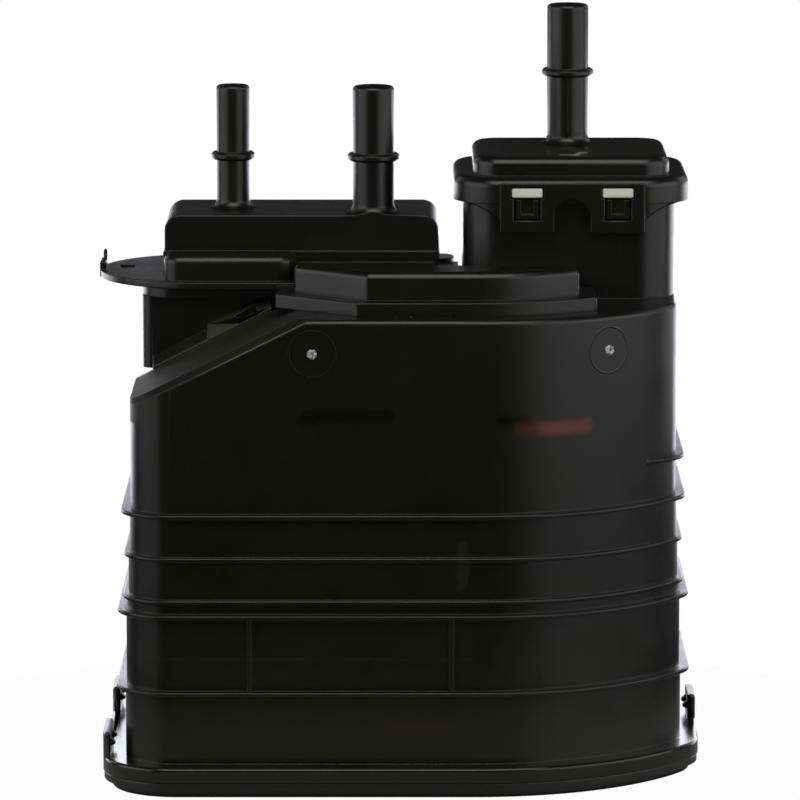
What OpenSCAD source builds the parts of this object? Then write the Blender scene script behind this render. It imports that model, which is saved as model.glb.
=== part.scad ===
// Charcoal canister that stores fuel vapour: a welded plastic housing with two carbon
// chambers, a ported top cover, a vent turret with a clipped cap, and a welded base cover.
// X runs to the right, Y to the back, Z up. The origin is on the floor under the centre.

/* [Housing] */
// Centre plane to the left wall at the foot
body_left = 76.7; // [72:0.1:78]
// Centre plane to the right wall at the foot
body_right = 80.5; // [79.8:0.1:82]
// Centre plane to the front wall at the foot
body_front = 52; // [50:0.5:54]
// Centre plane to the rear wall at the foot
body_back = 52; // [51.5:0.5:54]
// Height of the housing roof
body_top = 134; // [126:0.5:150]
// Radius of the plain upright corners
corner_r = 14; // [10:0.5:18]
// Where the flat front starts to bow back
bow_x = 21.5; // [15:0.5:25]
// Radius of the bowed front on the right
bow_r = 66; // [64:0.5:70]
// Radius between the bowed front and the right wall
bow_corner_r = 12; // [9:0.5:15]
// Moulded wall of the housing
wall = 2.5; // [2:0.1:3]
// How much each tier between ribs draws in from the one below
draft_step = 0.35; // [0.2:0.05:0.4]
// Thickness of the roof
roof_t = 2.5; // [2:0.1:3.5]
// Right face of the wall between the two chambers
divider_x = 15.5; // [12:0.5:17]
// Thickness of the wall between the two chambers
divider_t = 2.2; // [1.6:0.1:3]
// Gap under that wall that lets vapour cross
divider_gap = 9; // [7:0.5:11]

/* [Ribs] */
// Heights of the wrapped ribs, from the bottom
rib_z = [29, 50.7, 54.7, 66.7, 78.9];
// How far each wrapped rib stands out
rib_out = [2.4, 2.4, 1.2, 1.2, 2.4];
// Thickness of a rib
rib_t = 1.3; // [1:0.1:1.8]
// Height of the short rib on the right shoulder
shoulder_rib_z = 90.5; // [86:0.5:100]
// Where the short rib starts
shoulder_rib_x = 70; // [66:0.5:74]
// Places of the two upright ribs on the front
upright_x = [-41.6, 14.9];

/* [Base] */
// Height of the parting line under the housing flange
part_z = 4.6; // [4.2:0.1:5.5]
// Thickness of the housing flange
flange_t = 4.3; // [3.5:0.1:5]
// Centre plane to the left edge of the flange
flange_left = 83.2; // [82.5:0.1:84.5]
// Centre plane to the right edge of the flange
flange_right = 85.6; // [85.1:0.1:85.6]
// Centre plane to the front and rear edges of the flange
flange_depth = 58; // [57.5:0.5:60]
// Radius of the flange corners
flange_r = 21; // [18:0.5:24]
// Thickness of the base cover rim and floor
cover_t = 2.3; // [2:0.1:2.5]
// Inset of the belly below the rim
belly_inset = 2.6; // [2:0.1:4]
// Height of the upstanding lugs on the flange
lug_h = 7; // [5:0.1:8]
// Thickness of a lug
lug_t = 2.2; // [1.8:0.1:2.8]
// How far the right lug stands past the flange
lug_proud = 0.4; // [0.4:0.1:0.6]
// Front and rear ends of the lugs on the left
left_lugs = [[-42, -21], [22, 42]];
// Front and rear ends of the lug on the right
right_lug = [11, 28];

/* [Slope and tower] */
// Where the slope meets the front top edge
slope_x = -25; // [-28:0.5:-22]
// Angle of the slope at the front left
slope_angle = 26.7; // [25:0.1:28]
// Width of the front rim of the slope
slope_rim = 3.2; // [2.5:0.1:4]
// Width of the gutter behind the rim
gutter_w = 2.4; // [1.5:0.1:3]
// Depth of the gutter
gutter_d = 1.4; // [0.8:0.1:2]
// Rise of the land behind the gutter
land_rise = 1.6; // [1:0.1:2]
// Left face of the tower
tower_left = 73; // [71:0.5:74]
// Radius of the tower's upright corners
tower_r = 3; // [2:0.1:4]
// Front face of the tower
tower_front = 0; // [-2:0.5:2]
// Height of the tower floor where it overhangs
tower_floor = 113.2; // [112:0.1:114]
// Clearance between the grid's ledges and the wall under the notch
notch_gap = 2.5; // [2:0.1:4]
// Inner end of the notch
notch_x = -64; // [-66:0.5:-62]
// Depth of the rail along the foot of the tower
rail_d = 3.2; // [2.5:0.1:4]
// Height of the rail above the land
rail_h = 3.2; // [3:0.1:4]
// Height of the rail's upright front under its ramp
rail_toe = 0.8; // [0.5:0.1:1]
// Depth of the rail's flat top behind its ramp
rail_lip = 0.6; // [0.4:0.1:1]
// Right end of the rail
rail_right = -36; // [-38:0.5:-34]
// Left end of the raised part of the rail
boss_left = -54.5; // [-58:0.5:-52]
// Height of the raised part above the rail
boss_h = 1.4; // [1:0.1:2]
// Middle of the slot in the raised part
slot_x = -42; // [-44:0.5:-41]
// Length of the slot
slot_l = 6; // [4:0.5:7]

/* [Top cover] */
// Thickness of the weld rim of the top cover
rim_t = 3.8; // [3:0.1:4.5]
// Front of the weld rim
rim_front = 43; // [41:0.5:45]
// Height of the front dome above the weld rim
dome_h = 8; // [7:0.1:9]
// Fall of the dome's top to its back
dome_drop = 3; // [2.5:0.1:4]
// Setback of the dome from the weld rim
dome_inset = 5; // [4:0.5:6]
// Right end of the weld rim
rim_right = 55.8; // [52:0.1:58]
// Where the flat front of the weld rim starts to bow back
rim_bow_x = 18.5; // [15:0.5:22]
// Radius of the bowed front of the weld rim
rim_bow_r = 60; // [55:0.5:66]
// Where the facet of the weld rim leaves its front
facet_x = -11.5; // [-14:0.5:-8]
// Run and rise of the facet of the weld rim
rim_facet = [23, 19];
// Run and rise of the facet of the dome
dome_facet = [19.2, 17];
// Wall of the cover mouldings
cover_wall = 2.4; // [2:0.1:3]
// Edge radius of the dome and the low step
edge_r = 2.4; // [1.5:0.1:3]
// Radius of the port block's two side edges along its top
block_edge_r = 4.4; // [2.5:0.1:5]
// Corner radius of the low step and the plate
block_r = 4.8; // [4.5:0.1:6]
// Front of the plate behind the dome
plate_front = 7.5; // [6:0.5:9]
// Rear of the plate
plate_back = 58; // [52:0.5:58]
// Thickness of the plate and its ear
plate_t = 2; // [1.4:0.1:2.4]
// Rise of the plate above the weld rim
plate_rise = 0.9; // [0.5:0.1:1.2]
// Left tip of the ear
ear_tip = 86; // [85.6:0.1:86]
// Front and rear ends of the tab at the ear's tip
ear_tab = [21, 31];
// Height of that tab above the plate
ear_tab_h = 2.4; // [1.5:0.1:3]
// Height of the stub on that tab
ear_stub_h = 2.5; // [1.5:0.1:3]
// Corner and size of the slot in the ear
ear_slot = [-80.4, 26, 4, 6];
// Left face of the port block
block_left = 66.8; // [65:0.1:68]
// Right face of the port block
block_right = 11.4; // [10:0.1:12]
// Front face of the port block
block_front = 7; // [5:0.5:8]
// Rear face of the port block
block_back = 44.5; // [43:0.5:46]
// Top of the port block above the housing roof
block_h = 22.3; // [20:0.1:25]
// Front of the low step of the port block
step_front = 4; // [2:0.5:5]
// Right end of the low step
step_right = -29.5; // [-32:0.5:-28]
// Height of the low step above the housing roof
step_h = 12; // [10:0.5:14]
// How far the foot of the port block stands out below the height of the low step
foot_out = 0.4; // [0.2:0.1:0.6]

/* [Ports] */
// Outer diameter of the purge spigot
purge_od = 9.5; // [8:0.1:10]
// Bore of the purge spigot
purge_bore = 6; // [5:0.1:6.5]
// Outer diameter of the tank and vent spigots
tank_od = 11.8; // [11:0.1:12.6]
// Bore of the tank and vent spigots
tank_bore = 8; // [7:0.1:8.5]
// Length of the tank and purge spigots above their beads
spigot_l = 19.3; // [17:0.1:22]
// Length of the vent spigot above its bead
vent_spigot_l = 18.6; // [17:0.1:22]
// Height of the bead
bead_h = 2.2; // [1.6:0.1:2.6]
// How far the bead stands out
bead_out = 1.5; // [1:0.1:2]
// Length of the tank spigot below its bead
neck_l = 15; // [12:0.1:18]
// Length of the purge spigot below its bead
purge_neck_l = 14; // [12:0.1:18]
// Length of the vent spigot below its bead
vent_neck_l = 19.5; // [16:0.1:22]
// Fillet at the foot of a spigot
foot_r = 2.6; // [1.5:0.1:3]
// Purge spigot axis from the centre plane and from the centre line
purge_at = [-47.6, 26];
// Tank spigot axis from the centre plane
tank_x = -7.1; // [-9:0.1:-5]
// Setback of the tank spigot from the front of the port block
tank_setback = 0.6; // [0.4:0.1:2]
// Vent spigot axis from the centre plane and from the centre line
vent_at = [48.9, 34];

/* [Vent turret and cap] */
// Left face of the turret
turret_left = 18.5; // [18:0.1:20]
// Right face of the turret
turret_right = 78.7; // [78:0.1:78.7]
// Front face of the turret
turret_front = 5.6; // [5:0.1:7]
// Rear face of the turret
turret_back = 50; // [49:0.5:50]
// Upright corner radius of the turret
turret_r = 11; // [9:0.5:12]
// Top of the turret above the housing roof
turret_h = 29.2; // [27:0.1:33]
// Overhang of the cap flange past the turret at the front and rear
cap_over = 3.4; // [2.5:0.1:3.6]
// Shift of the cap to the right of the turret's middle
cap_shift = 0.6; // [0:0.1:0.8]
// Height of the cap flange
cap_flange_h = 7.3; // [6.8:0.1:8]
// How far the cap skirt reaches down the turret
cap_grip = 1.8; // [1.5:0.1:2.5]
// Inset of the cap dome from the flange
cap_inset = 5.6; // [5:0.1:6.5]
// Inset of the cap dome from the rear of the flange
cap_rear_inset = 3.6; // [3:0.1:6]
// Upright corner radius of the cap dome
cap_dome_r = 8; // [6:0.5:10]
// Edge radius of the cap flange
cap_lip_r = 2.6; // [0.6:0.1:3]
// Height of the cap dome above its flange
cap_dome_h = 5.4; // [4.5:0.1:6]
// Edge radius of the cap dome
cap_edge_r = 2.6; // [1.5:0.1:3]
// Length of the skirt on each side of the apron
wing_w = 12; // [10:0.5:13]
// Height of the skirt beside the apron
wing_drop = 5; // [4:0.1:6]
// How far the latches sit right of the turret's middle
latch_shift = 0.7; // [0:0.1:1]
// Width of the latch apron
apron_w = 41; // [40:0.1:44]
// Drop of the latch apron below the cap flange
apron_drop = 8.1; // [7:0.1:9]
// Thickness of the latch apron
apron_t = 2.2; // [1.8:0.1:2.4]
// Height of the latch windows above the apron's lower edge
window_sill = 3.5; // [3:0.1:4]
// Width of a latch window
window_w = 7.5; // [7:0.1:8]
// Distance between the two latch windows
window_pitch = 25.7; // [24:0.1:27]
// Width of the arch between the windows
arch_w = 10.2; // [8:0.1:12]
// Rise of the arch above the apron's lower edge
arch_h = 9.5; // [8:0.1:10]
// Height of the catches on the turret
catch_h = 5.4; // [4.5:0.1:6]
// Height of the filter frame
frame_h = 2.8; // [2.4:0.1:3.2]
// Width of the filter frame's rim
frame_w = 4.5; // [4:0.1:6]
// Width of a white tab
tab_w = 8.8; // [8.5:0.1:9.6]
// Thickness of the cap seal
seal_t = 1.2; // [0.8:0.1:1.6]

/* [Inside] */
// Free height of a plate spring
spring_h = 19.7; // [18:0.1:22]
// Outer diameter of a spring
spring_od = 15; // [13:0.5:17]
// Wire of a spring
spring_wire = 1.6; // [1.2:0.1:1.8]
// Active turns of a spring
spring_turns = 3; // [2:1:4]
// Thickness of a pressure plate
plate_thick = 3; // [2.5:0.1:4]
// Diameter of the holes in the plates and grids
plate_hole = 5; // [4:0.1:6]
// Distance between those holes
plate_pitch = 11; // [10:0.5:14]
// Thickness of a pad under a carbon bed
low_pad_t = 4; // [3:0.1:5]
// Thickness of the pad over the main bed
main_pad_t = 4; // [3:0.1:5]
// Height of the main carbon bed
main_bed_h = 57; // [54:0.5:57]
// Thickness of the grid over the main bed
grid_t = 3; // [2:0.1:3]
// Height of the ledges that hold the grid down
ledge_t = 2; // [1.5:0.1:2.5]
// Thickness of the pad over the vent bed
vent_pad_t = 5; // [4:0.1:7]
// Running clearance of what slides in a chamber
slide = 0.25; // [0.15:0.05:0.4]

/* [Hidden] */
$fn = 64;

// Overlap that joins solids and clears cut faces
eps = 0.2;
// Reach of a cut that passes right through
far = 200;
// Number of sides of the hulled roundings
hull_fn = 28;

tiers = len(rib_z);
flange_top = part_z + flange_t;
inner_inset = wall + tiers * draft_step;
land_inset = tiers * draft_step + slope_rim + gutter_w;
slope_rise = tan(slope_angle);
ceiling_z = body_top - roof_t;
divider_left = divider_x - divider_t;

turret_gap = 2;
cover_right = turret_left - turret_gap / 2;
tower_back = body_back - tiers * draft_step;
cover_top = body_top + rim_t;
plate_z = cover_top + plate_rise - plate_t;
dome_top = cover_top + dome_h;
block_top = body_top + block_h;

turret_top = body_top + turret_h;
cap_z = turret_top - cap_grip;
cap_top = cap_z + cap_flange_h;
frame_z = turret_top;
seal_z = frame_z + frame_h;
cap_ceiling = seal_z + seal_t;
cap_left = turret_left - cap_over + cap_shift;
cap_right = turret_right + cap_over + cap_shift;
cap_front = turret_front + cap_over;
cap_back = turret_back + cap_over;
latch_mid = (turret_left + turret_right) / 2 + latch_shift;
apron_front = cap_front + apron_t / 2;
window_low = cap_z - apron_drop + window_sill;
latch_play = 0.4;

floor_z = cover_t;
plate_low = floor_z + spring_h;
low_pad_z = plate_low + plate_thick;
bed_z = low_pad_z + low_pad_t;
main_pad_z = bed_z + main_bed_h;
grid_z = main_pad_z + main_pad_t;
ledge_z = grid_z + grid_t;
notch_z = ledge_z + ledge_t + notch_gap + wall;
vent_pad_z = ceiling_z - vent_pad_t;
spring_places = [[-54, -30], [-54, 30], [-4, -30], [-4, 30], [45, -16], [45, 28]];

plastic = [0.09, 0.09, 0.095];
white_plastic = [0.9, 0.89, 0.86];
foam = [0.28, 0.29, 0.3];
felt = [0.8, 0.78, 0.72];
carbon = [0.05, 0.05, 0.05];
spring_steel = [0.65, 0.66, 0.68];
rubber = [0.12, 0.12, 0.12];

// A rectangle with rounded corners, by its four sides
module rounded_area(x0, x1, y0, y1, r) {
    translate([x0 + r, y0]) square([x1 - x0 - 2 * r, y1 - y0]);
    translate([x0, y0 + r]) square([x1 - x0, y1 - y0 - 2 * r]);
    for (x = [x0 + r, x1 - r], y = [y0 + r, y1 - r]) translate([x, y]) circle(r);
}

// Everything behind a front line that is flat to x and then bows back at radius r
module behind_bow(front, x, r) {
    translate([x - far, -front]) square([far, 2 * far]);
    translate([x, r - front]) circle(r);
    translate([x, r - front]) square([far, far]);
}

// The area right of the bow's middle, where the bow hands over to the side wall
module bowed_area(left, right, front, back, r_plain, x, r_bow, r_end) {
    end_x = right - r_end;
    reach = r_bow - r_end;
    end_y = r_bow - front - sqrt(reach * reach - pow(end_x - x, 2));
    bow_y = r_bow - front;
    turn = [end_x - x, end_y - bow_y] * far;
    intersection() {
        translate([x, bow_y]) circle(r_bow);
        translate([x, bow_y]) polygon([[0, 0], [0, -far], turn + [0, -far], turn]);
    }
    translate([end_x, end_y]) circle(r_end);
    polygon([
        [x, -front], [x, bow_y], [end_x, end_y], [right, end_y], [right, back - r_plain],
        [right - r_plain, back], [r_plain - left, back], [-left, back - r_plain],
        [-left, r_plain - front], [r_plain - left, -front]
    ]);
    for (y = [r_plain - front, back - r_plain]) translate([r_plain - left, y]) circle(r_plain);
    translate([right - r_plain, back - r_plain]) circle(r_plain);
}

// The body outline drawn in by an inset, which is negative for what stands out
module body_area(inset) {
    bowed_area(body_left - inset, body_right - inset, body_front - inset, body_back - inset,
        corner_r - inset, bow_x, bow_r - inset, bow_corner_r - inset);
}

module flange_area(inset) {
    bow_gap = flange_depth - body_front;
    bowed_area(flange_left - inset, flange_right - inset, flange_depth - inset, flange_depth - inset,
        flange_r - inset, bow_x, bow_r + bow_gap - inset, bow_corner_r + bow_gap - inset);
}

// One chamber of the housing: the main one left of the divider, or the vent one right of it
module chamber_area(main, gap) {
    intersection() {
        body_area(inner_inset + gap);
        translate([main ? divider_left - gap - far : divider_x + gap, -far / 2]) square([far, far]);
    }
}

// The region above the slope, raised by a vertical amount
module above_slope(rise) {
    rotate([90, 0, 0])
        linear_extrude(far, center = true)
            polygon([
                [slope_x, body_top + rise], [slope_x - far, body_top + rise - far * slope_rise],
                [slope_x - far, body_top + far], [slope_x, body_top + far]
            ]);
}

// The opening in the roof and the cover's underside: below the port block and on to the front of the dome
module roof_opening_area(gap) {
    rounded_area(-block_left + cover_wall + gap, block_right - cover_wall - gap,
        block_front + cover_wall + gap, block_back - cover_wall - gap, edge_r);
    rounded_area(facet_x + cover_wall + gap, block_right - cover_wall - gap,
        -rim_front + dome_inset + cover_wall + gap, block_front + 2 * cover_wall + 2 * edge_r, edge_r);
}

module turret_area(gap) {
    rounded_area(turret_left + gap, turret_right - gap, -turret_front + gap, turret_back - gap,
        turret_r - gap);
}

// Holes of a plate or grid on a square pitch, kept inside an area
module hole_pattern(x0, x1, y0, y1, height) {
    nx = floor((x1 - x0 - plate_hole) / plate_pitch);
    ny = floor((y1 - y0 - plate_hole) / plate_pitch);
    for (i = [0:nx], j = [0:ny]) {
        x = (x0 + x1) / 2 + (i - nx / 2) * plate_pitch;
        y = (y0 + y1) / 2 + (j - ny / 2) * plate_pitch;
        translate([x, y, -eps]) cylinder(h = height + 2 * eps, d = plate_hole);
    }
}

// A wrapped rib around the body, standing out from the tier below it
module wrapped_rib(z, stand, inset) {
    translate([0, 0, z - rib_t / 2]) linear_extrude(rib_t) body_area(inset - stand);
}

// An upstanding lug on the flange edge with two small barbs on its inner side
module flange_lug(left, span) {
    barb = lug_h * 0.25;
    barb_l = 3.5;
    barb_z = flange_top + lug_h * 0.3;
    length = span[1] - span[0];
    inner = left ? lug_t - flange_left : flange_right + lug_proud - lug_t;
    translate([0, 0, flange_top - eps])
        linear_extrude(lug_h + eps)
            intersection() {
                translate([left ? -flange_left : inner, span[0]]) square([lug_t, length]);
                flange_area(left ? 0 : -lug_proud);
            }
    for (y = [span[0] + length / 4, span[1] - length / 4])
        translate([inner, y + barb_l / 2, barb_z])
            mirror([left ? 0 : 1, 0, 0])
                rotate([90, 0, 0])
                    linear_extrude(barb_l) polygon([[-eps, 0], [barb, barb / 2], [-eps, 1.5 * barb]]);
}

// The U-shaped catch behind each latch window
module catch() {
    catch_w = window_w - 3 * latch_play;
    rib = 1.3;
    pocket = 1;
    depth = apron_front - turret_front - apron_t * 0.3;
    translate([-catch_w / 2, -depth, 0])
        difference() {
            cube([catch_w, depth + eps, catch_h]);
            translate([rib, -eps, rib]) cube([catch_w - 2 * rib, pocket + eps, catch_h]);
        }
}

// The outside of the housing without its hollow
module housing_outside() {
    difference() {
        union() {
            for (i = [0:tiers])
                translate([0, 0, i == 0 ? part_z : rib_z[i - 1]])
                    linear_extrude((i == tiers ? body_top : rib_z[i]) - (i == 0 ? part_z : rib_z[i - 1]))
                        body_area(i * draft_step);
            for (i = [0:tiers - 1]) wrapped_rib(rib_z[i], rib_out[i], i * draft_step);
            shoulder_rib();
            for (x = upright_x)
                translate([x - rib_t / 2, -body_front + draft_step - rib_out[2], rib_z[0]])
                    cube([rib_t, rib_out[2] + wall, rib_z[1] - rib_z[0]]);
        }
        above_slope(0);
        intersection() {
            above_slope(-gutter_d);
            linear_extrude(body_top)
                difference() {
                    body_area(land_inset - gutter_w);
                    land_area();
                }
        }
    }
    slope_land();
    tower();
    translate([0, 0, body_top - roof_t]) linear_extrude(turret_h + roof_t) turret_area(0);
    for (side = [-1, 1])
        translate([latch_mid + side * window_pitch / 2, -turret_front, window_low + latch_play]) catch();
    translate([0, 0, part_z]) linear_extrude(flange_t) flange_area(0);
    for (span = left_lugs) flange_lug(true, span);
    flange_lug(false, right_lug);
}

// The short rib on the right shoulder, which grows out of the bowed front
module shoulder_rib() {
    taper = 15;
    r = bow_r - tiers * draft_step;
    turn = asin((shoulder_rib_x - bow_x) / r);
    translate([0, 0, shoulder_rib_z - rib_t / 2])
        linear_extrude(rib_t)
            intersection() {
                body_area(tiers * draft_step - rib_out[tiers - 1]);
                translate([shoulder_rib_x, -far / 2]) square([far, far]);
                translate([shoulder_rib_x, bow_r - body_front - r * cos(turn)])
                    rotate(turn - taper)
                        translate([-far, 0]) square([2 * far, far]);
            }
}

// The outline of the land: behind the gutter at the front, and out to the body's left side
module land_area() {
    intersection() {
        body_area(tiers * draft_step);
        for (shift = [0, slope_rim + gutter_w]) translate([-shift, 0]) body_area(land_inset);
    }
}

// The raised land on the slope, behind the gutter and in front of the tower
module slope_land() {
    low = rib_z[tiers - 1];
    difference() {
        intersection() {
            translate([0, 0, low]) linear_extrude(body_top - low) land_area();
            translate([-far, -far, 0]) cube([far + slope_x, far + tower_front, far]);
        }
        above_slope(land_rise);
    }
}

// Moves to the tower's foot above a place on the land, and turns along the slope
module at_tower_foot(x) {
    translate([x, tower_front, body_top + land_rise + (x - slope_x) * slope_rise])
        rotate([0, -slope_angle, 0]) children();
}

// A ramp along the foot of the tower, from its left end to the rail's right end
module rail_ramp(left, rise) {
    intersection() {
        translate([left, tower_front - rail_d, tower_floor])
            cube([rail_right - left, rail_d + eps, body_top - tower_floor]);
        at_tower_foot(slope_x)
            rotate([90, 0, 90])
                translate([0, 0, -far])
                    linear_extrude(far)
                        polygon([
                            [eps, -rail_h], [-rail_d, -rail_h], [-rail_d, rail_toe],
                            [-rail_lip, rise], [eps, rise]
                        ]);
    }
}

// The tower at the rear left, with a ramped rail along its foot
module tower() {
    slot_h = (rail_h + boss_h - rail_toe) / 2;
    slot_back = rail_d * 0.3;
    translate([0, 0, tower_floor])
        linear_extrude(body_top - tower_floor)
            rounded_area(-tower_left, slope_x + tower_r, tower_front, tower_back, tower_r);
    difference() {
        union() {
            rail_ramp(tower_r - tower_left, rail_h);
            rail_ramp(boss_left, rail_h + boss_h);
        }
        at_tower_foot(slot_x)
            translate([-slot_l / 2, -rail_d - eps, rail_toe + slot_h / 4])
                cube([slot_l, rail_d + eps - slot_back, slot_h]);
    }
}

// Everything that is hollow inside the housing
module housing_hollow() {
    drop = wall / cos(slope_angle);
    difference() {
        translate([0, 0, part_z - eps]) linear_extrude(ceiling_z - part_z + eps) body_area(inner_inset);
        above_slope(-drop);
        translate([-far, tower_front - wall, notch_z - wall]) cube([far + notch_x + wall, far, far]);
        translate([divider_left, -far / 2, part_z + divider_gap]) cube([divider_t, far, far]);
        grid_ledges();
    }
    translate([-tower_left + wall, tower_front + wall, tower_floor + wall])
        cube([tower_left - 2 * wall, tower_back - tower_front - 2 * wall, ceiling_z - tower_floor - wall]);
    translate([0, 0, ceiling_z - eps]) linear_extrude(roof_t + 2 * eps) roof_opening_area(cover_wall);
    translate([0, 0, body_top]) linear_extrude(turret_h + eps) turret_area(wall);
    translate([0, 0, ceiling_z])
        hole_pattern(turret_left + 2 * wall, turret_right - 3 * wall, -turret_front + 2 * wall,
            turret_back - 3 * wall, roof_t);
}

// Four ledges that hold the grid of the main bed down
module grid_ledges() {
    ledge_l = 10;
    ledge_x = [-40, -5];
    reach = inner_inset + 3;
    for (x = ledge_x)
        for (y = [-body_front, body_back - reach])
            translate([x, y, ledge_z]) cube([ledge_l, reach, ledge_t]);
}

module housing() {
    color(plastic)
        difference() {
            housing_outside();
            housing_hollow();
            translate([-far, tower_front, notch_z])
                cube([far + notch_x, far, tower_floor - notch_z]);
        }
}

module base_cover() {
    rim_in = 0.3;
    rib_in = 0.3;
    rib_h = 3.2;
    seat_h = 4;
    color(plastic) {
        difference() {
            union() {
                translate([0, 0, cover_t]) linear_extrude(part_z - cover_t) flange_area(rim_in);
                linear_extrude(cover_t) flange_area(belly_inset);
                translate([0, 0, part_z - eps]) linear_extrude(rib_h + eps) body_area(inner_inset + rib_in);
            }
            translate([0, 0, cover_t]) linear_extrude(far) body_area(inner_inset + rib_in + cover_t);
        }
        for (p = spring_places)
            translate([p[0], p[1], cover_t - eps])
                cylinder(h = seat_h + eps, d = spring_od - 2 * spring_wire - 2 * slide);
    }
}

// A rectangular block with rounded upright corners and a rounded top edge
module soft_block(x0, x1, y0, y1, z0, z1, r_corner, r_edge) {
    hull()
        for (x = [x0 + r_corner, x1 - r_corner], y = [y0 + r_corner, y1 - r_corner])
            translate([x, y, z0])
                rotate_extrude($fn = hull_fn) {
                    square([r_corner, z1 - z0 - r_edge]);
                    square([r_corner - r_edge, z1 - z0]);
                    translate([r_corner - r_edge, z1 - z0 - r_edge])
                        intersection() {
                            circle(r_edge);
                            square(r_edge);
                        }
                }
}

// The fillet at the foot of a spigot
module spigot_foot(od, bore) {
    r = od / 2;
    rotate_extrude()
        difference() {
            translate([bore / 2, -eps]) square([r - bore / 2 + foot_r, foot_r + eps]);
            translate([r + foot_r, foot_r]) circle(foot_r);
        }
}

// A hose spigot: tube, bead and rounded tip, standing on z = 0 and sunk into its base
module spigot(od, bore, neck, above, sink) {
    r = od / 2;
    tip_r = (od - bore) / 2 * 0.6;
    bead_edge = 0.6;
    length = neck + bead_h + above;
    rotate_extrude() {
        translate([bore / 2, -sink - eps]) square([r - bore / 2, length - tip_r + sink + eps]);
        translate([bore / 2, 0]) square([r - bore / 2 - tip_r, length]);
        translate([r - tip_r, length - tip_r]) circle(tip_r);
        polygon([
            [bore / 2, neck], [r + bead_out - bead_edge, neck], [r + bead_out, neck + bead_edge],
            [r + bead_out, neck + bead_h - bead_edge], [r + bead_out - bead_edge, neck + bead_h],
            [bore / 2, neck + bead_h]
        ]);
    }
}

// The weld rim: bowed front with a facet at the front left, and the part under the plate
module rim_area() {
    side_x = facet_x - rim_facet[0];
    back = tower_back - rim_t;
    step_y = -turret_front - turret_gap;
    intersection() {
        behind_bow(rim_front, rim_bow_x, rim_bow_r);
        polygon([
            [facet_x, -rim_front], [rim_right, -rim_front], [rim_right, step_y], [cover_right, step_y],
            [cover_right, back], [side_x, back], [side_x, rim_facet[1] - rim_front]
        ]);
    }
}

module plate_area() {
    ear_r = (plate_back + plate_front) / 2;
    translate([-ear_tip + ear_r, ear_r - plate_front]) circle(ear_r);
    rounded_area(-ear_tip + ear_r, block_right - block_r, -plate_front, plate_back, block_r);
    rounded_area(0, cover_right - cover_wall / 2, block_back + cover_wall / 2, plate_back, block_r);
}

// The small tab with a stub at the tip of the ear
module ear_tip_tab() {
    tab_t = 1.8;
    stub_t = 1.1;
    translate([-ear_tip, ear_tab[0], plate_z])
        cube([tab_t, ear_tab[1] - ear_tab[0], plate_t + ear_tab_h]);
    translate([-ear_tip + tab_t - stub_t, ear_tab[1] - 2 * stub_t, plate_z])
        cube([stub_t, 2 * stub_t, plate_t + ear_tab_h + ear_stub_h]);
}

// The front dome of the cover, a soft-edged lid that follows the weld rim and runs back to the port block
module cover_dome() {
    x0 = step_right + edge_r;
    front = -rim_front + dome_inset + edge_r;
    back = -turret_front - turret_gap - edge_r;
    right = rim_right - dome_inset - edge_r;
    arc_r = rim_bow_r - dome_inset - edge_r;
    bow_end = asin((right - rim_bow_x) / arc_r);
    steps = 12;
    points = concat(
        [[x0, back, dome_drop], [x0, front + dome_facet[1], 0], [x0 + dome_facet[0], front, 0]],
        [for (i = [0:steps])
            let (a = bow_end * i / steps)
                [rim_bow_x + arc_r * sin(a), front + arc_r * (1 - cos(a)), 0]],
        [[right, back, dome_drop]]
    );
    hull()
        for (p = points) {
            translate([p[0], p[1], dome_top - edge_r - p[2]]) sphere(edge_r, $fn = hull_fn);
            translate([p[0], p[1], body_top + rim_t / 2]) cylinder(r = edge_r, h = rim_t / 2, $fn = hull_fn);
        }
    soft_block(step_right, block_right, back - block_r, block_front + 2 * block_r,
        body_top + rim_t / 2, dome_top - dome_drop, block_r, edge_r);
}

// The port block, rounded along its two side edges, on a foot that stands out a little
module port_block() {
    low = body_top + rim_t / 2;
    width = block_left + block_right;
    depth = block_back - block_front;
    translate([0, block_back, 0])
        rotate([90, 0, 0])
            linear_extrude(depth) {
                translate([-block_left, low]) square([width, block_top - block_edge_r - low]);
                translate([block_edge_r - block_left, low])
                    square([width - 2 * block_edge_r, block_top - low]);
                for (x = [block_edge_r - block_left, block_right - block_edge_r])
                    translate([x, block_top - block_edge_r]) circle(block_edge_r);
            }
    translate([-block_left - foot_out, block_front - foot_out, low])
        cube([width + 2 * foot_out, depth + 2 * foot_out, body_top + step_h - low]);
}

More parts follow.
